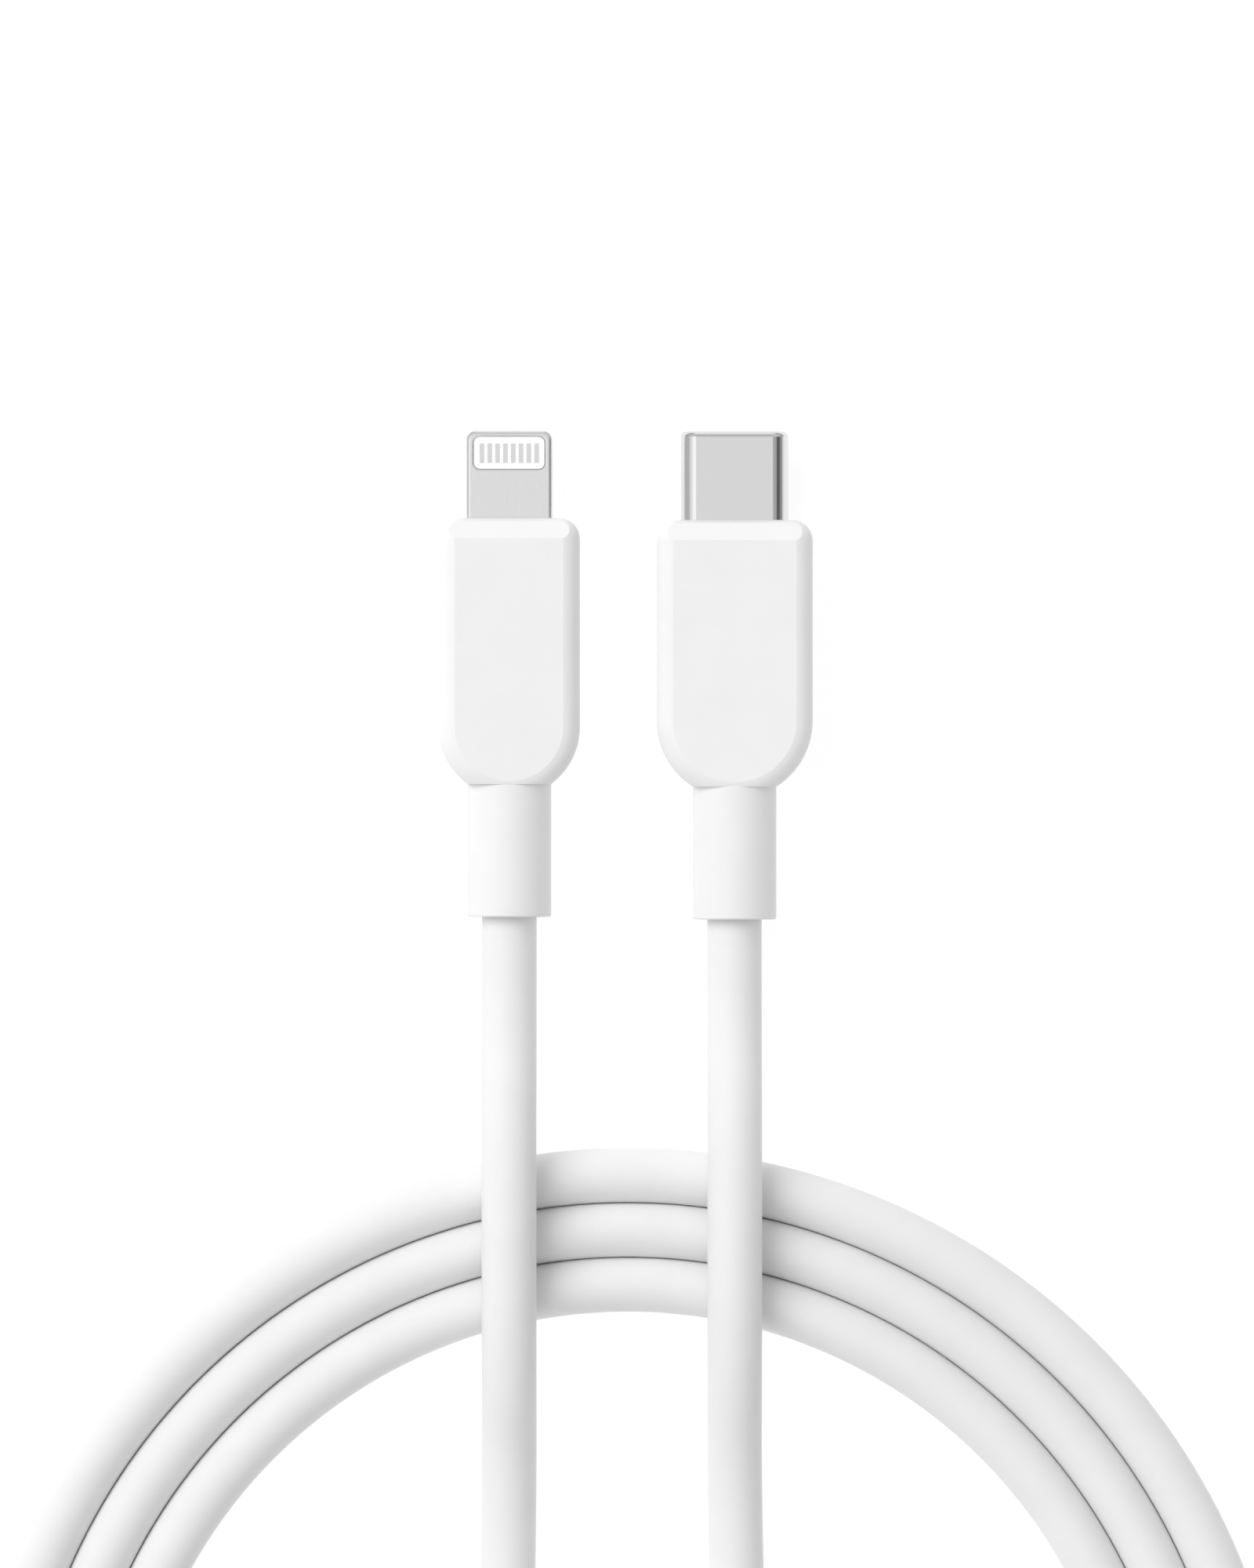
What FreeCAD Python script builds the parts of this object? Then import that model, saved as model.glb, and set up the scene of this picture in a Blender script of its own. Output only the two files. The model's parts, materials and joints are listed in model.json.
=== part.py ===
import FreeCAD, Part
import math
import os
import Sketcher

# Charging cable, lying flat: an eight-pin tab plug and an oval plug side by side, joined by a
# round cord that lies in a flat coil of three turns beside them.
# Frame: +Z up, +Y towards the plugs' tips, +X from the tab plug to the oval plug. The origin is on
# the surface that the cable lies on, under the middle of the two plugs. Lengths in millimetres.
# Inside a plug, depth is counted backwards (towards -Y) from the casing's front face.

doc = FreeCAD.newDocument("charging_cable")

DRIVING = {
    # where the two plugs lie
    "tab_x": -8.94, "tab_front": 12.0,
    "oval_x": 8.36, "oval_front": 11.85,
    "axis_height": 3.3,
    # casings: full sizes; the rounding of all edges, which the flat faces cut off by edge_trim; the
    # bevel along the front. The rear end is a half circle in plan
    "tab_casing_width": 10.85, "tab_casing_length": 20.4,
    "oval_casing_width": 12.0, "oval_casing_length": 20.45,
    "casing_height": 6.6, "edge_round": 1.6, "edge_trim": 0.035, "bevel_length": 1.57,
    "bevel_drop": 0.85,
    # strain reliefs
    "tab_relief_radius": 3.22, "oval_relief_radius": 3.22,
    "tab_relief_length": 10.2, "oval_relief_length": 10.2,
    "relief_bore": 2.15, "relief_neck": 2.9, "relief_rim": 0.2,
    # tab: the metal frame, its contact window and its side detents
    "tab_reach": 6.8, "tab_width": 6.7, "tab_thickness": 1.5, "tab_edge": 0.35, "tab_corner": 0.8,
    "tab_anchor": 1.0, "flange_width": 8.2, "flange_height": 2.4, "flange_start": 1.0,
    "flange_length": 1.2, "window_width": 5.4, "window_start": -6.25, "window_length": 2.45,
    "window_corner": 0.45, "window_rim": 0.15, "tongue_width": 5.0, "tongue_tip": -5.9,
    "detent_start": -5.2, "detent_length": 1.9, "detent_height": 0.8, "detent_depth": 0.25,
    "pin_count": 8, "pin_pitch": 0.6, "pin_width": 0.36, "pin_start": -5.75, "pin_length": 1.5,
    # oval shell and what it holds
    "oval_reach": 6.85, "oval_width": 8.3, "oval_thickness": 2.4, "oval_wall": 0.25,
    "oval_rim": 0.45, "oval_lip": 0.5, "oval_anchor": 2.0, "housing_start": -6.35,
    "mouth_width": 6.9, "mouth_height": 1.15, "mouth_depth": 5.35, "leaf_count": 12, "leaf_pitch": 0.5,
    "leaf_width": 0.25, "leaf_thickness": 0.22, "leaf_start": -5.65, "leaf_end": 3.0,
    "latch_out": 3.7, "latch_arm": 0.25, "latch_thickness": 0.2, "latch_start": -5.4,
    "latch_hook": 3.2, "latch_hook_length": 0.6, "latch_bridge_start": 0.4, "latch_end": 1.6,
    "spring_width": 5.6, "spring_start": -6.3, "spring_length": 0.6, "spring_thickness": 0.1,
    # circuit boards, parts on them and shield cans, the same in both plugs
    "board_width": 8.2, "board_thickness": 0.8, "tab_board_start": 2.4, "oval_board_start": 2.0,
    "board_end": 13.2, "can_start": 3.2, "can_end": 11.6, "can_height": 1.8, "can_wall": 0.15,
    "chip_start": 4.2, "tab_chip_length": 3.4, "tab_chip_width": 2.8, "oval_chip_length": 2.2,
    "oval_chip_width": 2.2, "chip_height": 0.7,
    "small_start": 8.6, "small_length": 1.0, "small_width": 0.5, "small_height": 0.5,
    "small_pitch": 1.2, "tab_small_count": 6, "oval_small_count": 4,
    # inner mouldings and the cord's end inside the plug
    "mould_width": 9.0, "mould_height": 5.2, "mould_start": 0.9, "mould_end": 16.5,
    "chamber_width": 5.6, "chamber_height": 3.0, "stripped_at": 15.2,
    "ferrule_start": 15.6, "ferrule_end": 18.4, "ferrule_inner": 2.12, "ferrule_outer": 2.4,
    "wire_radius": 0.34, "wire_in_cord": 0.8, "wire_outer_pad": 2.3, "wire_inner_pad": 1.2,
    "wire_tip": 12.0,
    # cord and coil
    "cord_radius": 2.1, "coil_x": 0.15, "coil_y": -87.4, "coil_outer": 51.0, "coil_turns": 3,
    "join_angle": -38.0, "leave_angle": 226.0, "lane_gap": 0.35,
    "inner_lane_free": 40.0, "outer_lane_free": 38.0, "outer_lane_cut": 1.9,
}

# Routes of the two straight leads: from the strain relief over the coil, down inside it, and on
# to the point where each one meets the coil, which is worked out from the coil's own sizes.
TAB_LEAD = [
    (-8.94, -18.6, 3.3), (-8.94, -26.6, 3.3), (-8.94, -34.3, 6.6), (-8.94, -51.0, 6.6),
    (-8.94, -62.0, 2.1), (-9.15, -75.5, 2.1), (-8.95, -88.2, 2.1), (-7.8, -101.2, 2.1),
    (-3.9, -112.5, 2.1), (2.4, -119.5, 2.1), (11.2, -122.9, 2.1), (20.5, -121.9, 2.1),
    (28.48, -116.92, 2.1),
]
OVAL_LEAD = [
    (8.36, -18.8, 3.3), (8.36, -26.8, 3.3), (8.36, -34.5, 6.6), (8.36, -51.2, 6.6),
    (8.36, -62.2, 2.1), (8.7, -76.0, 2.1), (8.9, -90.0, 2.1), (8.7, -104.0, 2.1),
    (8.3, -115.7, 6.6), (3.1, -125.5, 6.6), (-6.1, -131.8, 6.6), (-17.1, -132.9, 6.6),
    (-27.42, -128.76, 2.1),
]


def make_sheet():
    sheet = doc.addObject("Spreadsheet::Sheet", "Dims")
    for row, (alias, value) in enumerate(DRIVING.items(), start=1):
        sheet.set(f"A{row}", alias)
        sheet.set(f"B{row}", str(value))
        sheet.setAlias(f"B{row}", alias)
    doc.recompute()
    return sheet


sheet = make_sheet()
nodes = {}


def size(alias):
    return float(getattr(sheet, alias))


def value_of(expression):
    """The number that an expression over the sheet's aliases gives now."""
    return float(sheet.evalExpression(expression))


def bind(thing, name, expression):
    thing.setExpression(name, expression)


def place_in_plug(thing, plug):
    bind(thing, "Placement.Base.x", f"Dims.{plug}_x")
    bind(thing, "Placement.Base.y", f"Dims.{plug}_front")
    bind(thing, "Placement.Base.z", "Dims.axis_height")


def new_body(label, plug=None):
    body = doc.addObject("PartDesign::Body", label)
    body.Label = label
    body.AllowCompound = True
    if plug:
        place_in_plug(body, plug)
    nodes[label] = body
    return body


def new_sketch(body, name, role, offset):
    plane = next(item for item in body.Origin.OriginFeatures if item.Role == role)
    sketch = body.newObject("Sketcher::SketchObject", name)
    sketch.AttachmentSupport = [(plane, "")]
    sketch.MapMode = "FlatFace"
    bind(sketch, "AttachmentOffset.Base.z", offset)
    return sketch


def pin_distance(sketch, kind, first, second, name, expression):
    """A driving distance between two (edge, point) places, bound to the sheet."""
    sketch.addConstraint(Sketcher.Constraint(kind, *first, *second, value_of(expression)))
    sketch.renameConstraint(sketch.ConstraintCount - 1, name)
    bind(sketch, f"Constraints.{name}", expression)


# Sketcher's numbers for the origin and for a curve's start, end and centre
ORIGIN_POINT = (-1, 1)
START, END, CENTRE = 1, 2, 3

# where the first of each row of contacts stands, across the plug
FIRST_PIN = "-(Dims.pin_count - 1) / 2 * Dims.pin_pitch"
FIRST_LEAF = "-(Dims.leaf_count - 1) / 2 * Dims.leaf_pitch"


def draw_rectangle(sketch, width, height, mid_x="0", mid_y="0"):
    w, h = value_of(width) / 2, value_of(height) / 2
    cx, cy = value_of(mid_x), value_of(mid_y)
    corners = [(cx - w, cy - h), (cx + w, cy - h), (cx + w, cy + h), (cx - w, cy + h)]
    points = [FreeCAD.Vector(x, y, 0) for x, y in corners]
    for i in range(4):
        sketch.addGeometry(Part.LineSegment(points[i], points[(i + 1) % 4]), False)
    for i in range(4):
        sketch.addConstraint(Sketcher.Constraint("Coincident", i, END, (i + 1) % 4, START))
        sketch.addConstraint(Sketcher.Constraint("Horizontal" if i % 2 == 0 else "Vertical", i))
    pin_distance(sketch, "DistanceX", (0, START), (0, END), "width", width)
    pin_distance(sketch, "DistanceY", (1, START), (1, END), "height", height)
    left, low = f"{mid_x} - ({width}) / 2", f"{mid_y} - ({height}) / 2"
    pin_distance(sketch, "DistanceX", ORIGIN_POINT, (0, START), "left", left)
    pin_distance(sketch, "DistanceY", ORIGIN_POINT, (0, START), "low", low)


def draw_stadium(sketch, width, height):
    """Two level lines joined by half circles, centred on the axis."""
    r = value_of(height) / 2
    reach = value_of(width) / 2 - r
    up, normal = math.pi / 2, FreeCAD.Vector(0, 0, 1)
    right = Part.Circle(FreeCAD.Vector(reach, 0, 0), normal, r)
    left = Part.Circle(FreeCAD.Vector(-reach, 0, 0), normal, r)
    sketch.addGeometry(Part.LineSegment(FreeCAD.Vector(-reach, -r, 0), FreeCAD.Vector(reach, -r, 0)))
    sketch.addGeometry(Part.ArcOfCircle(right, -up, up))
    sketch.addGeometry(Part.LineSegment(FreeCAD.Vector(reach, r, 0), FreeCAD.Vector(-reach, r, 0)))
    sketch.addGeometry(Part.ArcOfCircle(left, up, 3 * up))
    for i in range(4):
        sketch.addConstraint(Sketcher.Constraint("Tangent", i, END, (i + 1) % 4, START))
    sketch.addConstraint(Sketcher.Constraint("Horizontal", 0))
    sketch.addConstraint(Sketcher.Constraint("Symmetric", 1, CENTRE, 3, CENTRE, *ORIGIN_POINT))
    pin_distance(sketch, "DistanceX", (3, CENTRE), (1, CENTRE), "reach", f"({width}) - ({height})")
    pin_distance(sketch, "DistanceY", (0, START), (3, START), "height", height)


def draw_circle(sketch, radius, mid_x="0", mid_y="0"):
    centre = FreeCAD.Vector(value_of(mid_x), value_of(mid_y), 0)
    circle = sketch.addGeometry(Part.Circle(centre, FreeCAD.Vector(0, 0, 1), value_of(radius)))
    sketch.addConstraint(Sketcher.Constraint("Radius", circle, value_of(radius)))
    sketch.renameConstraint(sketch.ConstraintCount - 1, "radius")
    bind(sketch, "Constraints.radius", radius)
    pin_distance(sketch, "DistanceX", ORIGIN_POINT, (circle, CENTRE), "across", mid_x)
    pin_distance(sketch, "DistanceY", ORIGIN_POINT, (circle, CENTRE), "along", mid_y)


def extrude(body, name, sketch, length, cut=False):
    """Pad or pocket a sketch backwards into the plug, along its own normal."""
    kind = "PartDesign::Pocket" if cut else "PartDesign::Pad"
    before = 0 if body.Tip is None else body.Shape.Volume
    feature = body.newObject(kind, name)
    feature.Profile = sketch
    feature.Reversed = cut
    bind(feature, "Length", length)
    doc.recompute()
    if cut and body.Shape.Volume > before - 1e-6:
        raise RuntimeError(f"{body.Label}.{name} cuts nothing")
    return feature


def cross_section(body, name, start):
    return new_sketch(body, name, "XZ_Plane", start)


def block(body, name, start, end, width, height, mid_x="0", mid_z="0", cut=False):
    """A rectangular length of the plug between two depths, added or cut away."""
    sketch = cross_section(body, name + "_section", start)
    draw_rectangle(sketch, width, height, mid_x, mid_z)
    return extrude(body, name, sketch, f"({end}) - ({start})", cut)


def oval(body, name, start, end, width, height, cut=False):
    sketch = cross_section(body, name + "_section", start)
    draw_stadium(sketch, width, height)
    return extrude(body, name, sketch, f"({end}) - ({start})", cut)


def rod(body, name, start, end, radius, cut=False):
    sketch = cross_section(body, name + "_section", start)
    draw_circle(sketch, radius)
    return extrude(body, name, sketch, f"({end}) - ({start})", cut)


def repeat_across(body, feature, count, pitch):
    """Repeat a feature that stands at one end of a row, in +X, at an even pitch."""
    pattern = body.newObject("PartDesign::LinearPattern", feature.Name + "_row")
    pattern.Originals = [feature]
    pattern.Direction = (feature.Profile[0], ["H_Axis"])
    pattern.Occurrences = int(value_of(count))
    bind(pattern, "Length", f"({count} - 1) * {pitch}")
    body.Tip = pattern
    doc.recompute()
    return pattern


def round_edges(body, name, base, radius, wanted):
    """Fillet the edges of a feature for which wanted(edge) is true."""
    names = [f"Edge{i}" for i, edge in enumerate(base.Shape.Edges, start=1) if wanted(edge)]
    fillet = body.newObject("PartDesign::Fillet", name)
    fillet.Base = (base, names)
    bind(fillet, "Radius", radius)
    doc.recompute()
    return fillet


def runs_along(edge, direction):
    ends = edge.Vertexes
    if len(ends) != 2:
        return False
    line = ends[1].Point - ends[0].Point
    return line.Length > 0 and abs(line.normalize().dot(direction)) > 0.999


# ---- tab plug --------------------------------------------------------------------------------


def tab_frame():
    body = new_body("tab_frame", "tab")
    tab = block(body, "tab", "-Dims.tab_reach", "Dims.tab_anchor", "Dims.tab_width", "Dims.tab_thickness")
    tip = -size("tab_reach")
    upright = FreeCAD.Vector(0, 0, 1)
    at_tip = lambda edge: abs(edge.CenterOfMass.y + tip) < 0.01
    tab = round_edges(body, "tip_corners", tab, "Dims.tab_corner",
                      lambda edge: at_tip(edge) and runs_along(edge, upright))
    rear, face = -size("tab_anchor"), size("tab_thickness") / 2
    on_rim = lambda edge: abs(abs(edge.CenterOfMass.z) - face) < 0.01
    window_front, window_half = -size("window_start"), size("window_width") / 2
    in_window = lambda edge: (abs(edge.CenterOfMass.x) < window_half + 0.01 and
                              window_front - size("window_length") - 0.01 < edge.CenterOfMass.y
                              < window_front + 0.01)
    tab = round_edges(body, "rim", tab, "Dims.tab_edge",
                      lambda edge: on_rim(edge) and edge.CenterOfMass.y > rear + 0.01)
    block(body, "flange", "Dims.flange_start", "Dims.flange_start + Dims.flange_length",
          "Dims.flange_width", "Dims.flange_height")
    window = new_sketch(body, "window_section", "XY_Plane", "-Dims.tab_thickness")
    draw_rectangle(window, "Dims.window_width", "Dims.window_length", "0",
                   "-Dims.window_start - Dims.window_length / 2")
    window = extrude(body, "window", window, "2 * Dims.tab_thickness", cut=True)
    half = size("window_width") / 2
    window = round_edges(body, "window_corners", window, "Dims.window_corner",
                         lambda edge: runs_along(edge, upright) and abs(abs(edge.CenterOfMass.x) - half) < 0.01)
    round_edges(body, "window_rim", window, "Dims.window_rim",
                lambda edge: on_rim(edge) and in_window(edge))
    block(body, "board_slot", "Dims.window_start + Dims.window_length - 0.1",
          "Dims.flange_start + Dims.flange_length", "Dims.tongue_width", "Dims.board_thickness", cut=True)
    for side, sign in (("left", "-"), ("right", "")):
        block(body, f"{side}_detent", "Dims.detent_start", "Dims.detent_start + Dims.detent_length",
              "2 * Dims.detent_depth", "Dims.detent_height", f"{sign}Dims.tab_width / 2", "0", cut=True)


def tab_contact_insulator():
    body = new_body("tab_contact_insulator", "tab")
    end = "Dims.window_start + Dims.window_length"
    insert = block(body, "insert", "Dims.window_start", end, "Dims.window_width", "Dims.tab_thickness")
    round_edges(body, "insert_corners", insert, "Dims.window_corner",
                lambda edge: runs_along(edge, FreeCAD.Vector(0, 0, 1)))
    block(body, "board_slot", "Dims.tongue_tip", end, "Dims.tongue_width", "Dims.board_thickness", cut=True)
    for side, sign in (("upper", ""), ("lower", "-")):
        seat = block(body, f"{side}_seat", "Dims.pin_start", "Dims.pin_start + Dims.pin_length",
                     "Dims.pin_width", "Dims.tab_thickness / 2", FIRST_PIN,
                     f"{sign}Dims.tab_thickness / 2", cut=True)
        repeat_across(body, seat, "Dims.pin_count", "Dims.pin_pitch")


def tab_contacts(side, sign):
    body = new_body(f"tab_contacts_{side}", "tab")
    pin = block(body, "pin", "Dims.pin_start", "Dims.pin_start + Dims.pin_length", "Dims.pin_width",
                "(Dims.tab_thickness - Dims.board_thickness) / 2", FIRST_PIN,
                f"{sign}(Dims.tab_thickness + Dims.board_thickness) / 4")
    repeat_across(body, pin, "Dims.pin_count", "Dims.pin_pitch")


def tab_circuit_board():
    body = new_body("tab_circuit_board", "tab")
    block(body, "tongue", "Dims.tongue_tip", "Dims.tab_board_start", "Dims.tongue_width",
          "Dims.board_thickness")
    block(body, "board", "Dims.tab_board_start", "Dims.board_end", "Dims.board_width",
          "Dims.board_thickness")


# ---- oval plug -------------------------------------------------------------------------------


def oval_shell():
    """A drawn tube whose tip is rounded inwards to a lip."""
    body = new_body("oval_shell", "oval")
    outer = oval(body, "outer", "-Dims.oval_reach", "Dims.oval_anchor", "Dims.oval_width",
                 "Dims.oval_thickness")
    tip = size("oval_reach")
    round_edges(body, "rim", outer, "Dims.oval_rim", lambda edge: abs(edge.CenterOfMass.y - tip) < 0.01)
    oval(body, "lip_opening", "-Dims.oval_reach", "Dims.housing_start",
         "Dims.oval_width - 2 * Dims.oval_lip", "Dims.oval_thickness - 2 * Dims.oval_lip", cut=True)
    oval(body, "bore", "Dims.housing_start", "Dims.oval_anchor",
         "Dims.oval_width - 2 * Dims.oval_wall", "Dims.oval_thickness - 2 * Dims.oval_wall", cut=True)


def oval_contact_housing():
    body = new_body("oval_contact_housing", "oval")
    mouth_end = "Dims.housing_start + Dims.mouth_depth"
    oval(body, "insert", "Dims.housing_start", "Dims.oval_anchor",
         "Dims.oval_width - 2 * Dims.oval_wall", "Dims.oval_thickness - 2 * Dims.oval_wall")
    block(body, "mouth", "Dims.housing_start", mouth_end, "Dims.mouth_width", "Dims.mouth_height",
          cut=True)
    block(body, "latch_slot", "Dims.housing_start", "Dims.oval_anchor", "2 * Dims.latch_out",
          "Dims.latch_thickness", cut=True)
    for side, sign in (("upper", ""), ("lower", "-")):
        block(body, f"{side}_spring_seat", "Dims.housing_start", "Dims.spring_start + Dims.spring_length",
              "Dims.spring_width", "2 * Dims.spring_thickness", "0",
              f"{sign}Dims.mouth_height / 2", cut=True)
        slot = block(body, f"{side}_slot", "Dims.leaf_start", "Dims.oval_anchor", "Dims.leaf_width",
                     "Dims.leaf_thickness", FIRST_LEAF,
                     f"{sign}(Dims.board_thickness + Dims.leaf_thickness) / 2", cut=True)
        repeat_across(body, slot, "Dims.leaf_count", "Dims.leaf_pitch")


def oval_contacts(side, sign):
    body = new_body(f"oval_contacts_{side}", "oval")
    leaf = block(body, "leaf", "Dims.leaf_start", "Dims.leaf_end", "Dims.leaf_width",
                 "Dims.leaf_thickness", FIRST_LEAF,
                 f"{sign}(Dims.board_thickness + Dims.leaf_thickness) / 2")
    repeat_across(body, leaf, "Dims.leaf_count", "Dims.leaf_pitch")


def oval_latch_spring():
    """One flat plate: a bridge behind the mouth and two arms with hooks that point inwards."""
    body = new_body("oval_latch_spring", "oval")
    block(body, "bridge", "Dims.latch_bridge_start", "Dims.latch_end", "2 * Dims.latch_out",
          "Dims.latch_thickness")
    for side, sign in (("left", "-"), ("right", "")):
        block(body, f"{side}_arm", "Dims.latch_start", "Dims.latch_bridge_start", "Dims.latch_arm",
              "Dims.latch_thickness", f"{sign}(Dims.latch_out - Dims.latch_arm / 2)")
        block(body, f"{side}_hook", "Dims.latch_start", "Dims.latch_start + Dims.latch_hook_length",
              "Dims.latch_out - Dims.latch_hook", "Dims.latch_thickness",
              f"{sign}(Dims.latch_out + Dims.latch_hook) / 2")


def oval_ground_springs():
    body = new_body("oval_ground_springs", "oval")
    for side, sign in (("upper", ""), ("lower", "-")):
        block(body, side, "Dims.spring_start", "Dims.spring_start + Dims.spring_length",
              "Dims.spring_width", "Dims.spring_thickness", "0",
              f"{sign}(Dims.mouth_height + Dims.spring_thickness) / 2")


def oval_circuit_board():
    body = new_body("oval_circuit_board", "oval")
    block(body, "board", "Dims.oval_board_start", "Dims.board_end", "Dims.board_width",
          "Dims.board_thickness")


# ---- pieces that both plugs have -------------------------------------------------------------


def chip(plug, label):
    body = new_body(label, plug)
    block(body, "chip", "Dims.chip_start", f"Dims.chip_start + Dims.{plug}_chip_length",
          f"Dims.{plug}_chip_width", "Dims.chip_height", "0",
          "(Dims.board_thickness + Dims.chip_height) / 2")


def small_parts(plug, label):
    """A row of small chip parts, capacitors or resistors, on the board behind the main chip."""
    body = new_body(label, plug)
    count = f"Dims.{plug}_small_count"
    first = block(body, "first", "Dims.small_start", "Dims.small_start + Dims.small_length",
                  "Dims.small_width", "Dims.small_height", f"-({count} - 1) / 2 * Dims.small_pitch",
                  "(Dims.board_thickness + Dims.small_height) / 2")
    repeat_across(body, first, count, "Dims.small_pitch")


def shield_can(plug, side, sign):
    """A lid of thin sheet with four walls, standing on the board's edges."""
    body = new_body(f"{plug}_shield_can_{side}", plug)
    block(body, "outside", "Dims.can_start", "Dims.can_end", "Dims.board_width", "Dims.can_height", "0",
          f"{sign}(Dims.board_thickness + Dims.can_height) / 2")
    block(body, "inside", "Dims.can_start + Dims.can_wall", "Dims.can_end - Dims.can_wall",
          "Dims.board_width - 2 * Dims.can_wall", "Dims.can_height - Dims.can_wall", "0",
          f"{sign}(Dims.board_thickness + Dims.can_height - Dims.can_wall) / 2", cut=True)


def inner_mould(plug):
    body = new_body(f"{plug}_inner_mould", plug)
    block(body, "outside", "Dims.mould_start", "Dims.mould_end", "Dims.mould_width", "Dims.mould_height")
    if plug == "tab":
        block(body, "tab_opening", "Dims.mould_start", "Dims.flange_start", "Dims.tab_width",
              "Dims.tab_thickness", cut=True)
        block(body, "flange_seat", "Dims.flange_start", "Dims.tab_board_start", "Dims.flange_width",
              "Dims.flange_height", cut=True)
    else:
        oval(body, "shell_seat", "Dims.mould_start", "Dims.oval_board_start", "Dims.oval_width",
             "Dims.oval_thickness", cut=True)
    block(body, "board_space", f"Dims.{plug}_board_start", "Dims.board_end", "Dims.board_width",
          "Dims.board_thickness + 2 * Dims.can_height", cut=True)
    block(body, "wire_chamber", "Dims.board_end", "Dims.stripped_at", "Dims.chamber_width",
          "Dims.chamber_height", cut=True)
    rod(body, "cord_bore", "Dims.stripped_at", "Dims.mould_end", "Dims.ferrule_outer + 0.02", cut=True)


def draw_casing_outline(sketch, width, length):
    """A rectangle from the front face backwards, ending in a half circle."""
    half = value_of(width) / 2
    turn = half - value_of(length)
    centre, normal = FreeCAD.Vector(0, turn, 0), FreeCAD.Vector(0, 0, 1)
    front_left, rear_left = FreeCAD.Vector(-half, 0, 0), FreeCAD.Vector(-half, turn, 0)
    front_right, rear_right = FreeCAD.Vector(half, 0, 0), FreeCAD.Vector(half, turn, 0)
    sketch.addGeometry(Part.LineSegment(front_left, rear_left))
    sketch.addGeometry(Part.ArcOfCircle(Part.Circle(centre, normal, half), math.pi, 2 * math.pi))
    sketch.addGeometry(Part.LineSegment(rear_right, front_right))
    sketch.addGeometry(Part.LineSegment(front_right, front_left))
    for first, second in ((0, 1), (1, 2)):
        sketch.addConstraint(Sketcher.Constraint("Tangent", first, END, second, START))
    for first, second in ((2, 3), (3, 0)):
        sketch.addConstraint(Sketcher.Constraint("Coincident", first, END, second, START))
    sketch.addConstraint(Sketcher.Constraint("Horizontal", 3))
    sketch.addConstraint(Sketcher.Constraint("Symmetric", 0, START, 2, END, *ORIGIN_POINT))
    pin_distance(sketch, "DistanceX", (3, END), (3, START), "width", width)
    pin_distance(sketch, "DistanceY", (1, CENTRE), ORIGIN_POINT, "to_turn", f"{length} - {width} / 2")


def rounded_overrun(plug):
    """How far the rounded rear would run on past the casing's flat rear face, which cuts it where
    it has closed in to the strain relief's width."""
    half = f"(Dims.{plug}_casing_width / 2)"
    return f"{half} - sqrt({half} ^ 2 - Dims.{plug}_relief_radius ^ 2)"


def draw_front_wedges(sketch):
    """What the flat bevels take off the top and bottom of the casing's front, seen from the side."""
    length, drop = value_of("Dims.bevel_length"), value_of("Dims.bevel_drop")
    half = value_of("Dims.casing_height / 2")
    for first, side, sign in ((0, 1, ""), (3, -1, "-")):
        back = FreeCAD.Vector(-length, side * half, 0)
        corner = FreeCAD.Vector(0, side * half, 0)
        below = FreeCAD.Vector(0, side * (half - drop), 0)
        for start, end in ((back, corner), (corner, below), (below, back)):
            sketch.addGeometry(Part.LineSegment(start, end), False)
        for i in range(3):
            sketch.addConstraint(Sketcher.Constraint("Coincident", first + i, END,
                                                     first + (i + 1) % 3, START))
        sketch.addConstraint(Sketcher.Constraint("Horizontal", first))
        sketch.addConstraint(Sketcher.Constraint("Vertical", first + 1))
        name = "top" if side > 0 else "bottom"
        pin_distance(sketch, "DistanceX", (first, START), (first, END), f"{name}_length",
                     "Dims.bevel_length")
        pin_distance(sketch, "DistanceX", ORIGIN_POINT, (first, END), f"{name}_front", "0")
        pin_distance(sketch, "DistanceY", ORIGIN_POINT, (first, END), f"{name}_height",
                     f"{sign}Dims.casing_height / 2")
        pin_distance(sketch, "DistanceY", (first + 1, START), (first + 1, END), f"{name}_drop",
                     "-Dims.bevel_drop" if side > 0 else "Dims.bevel_drop")


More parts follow.
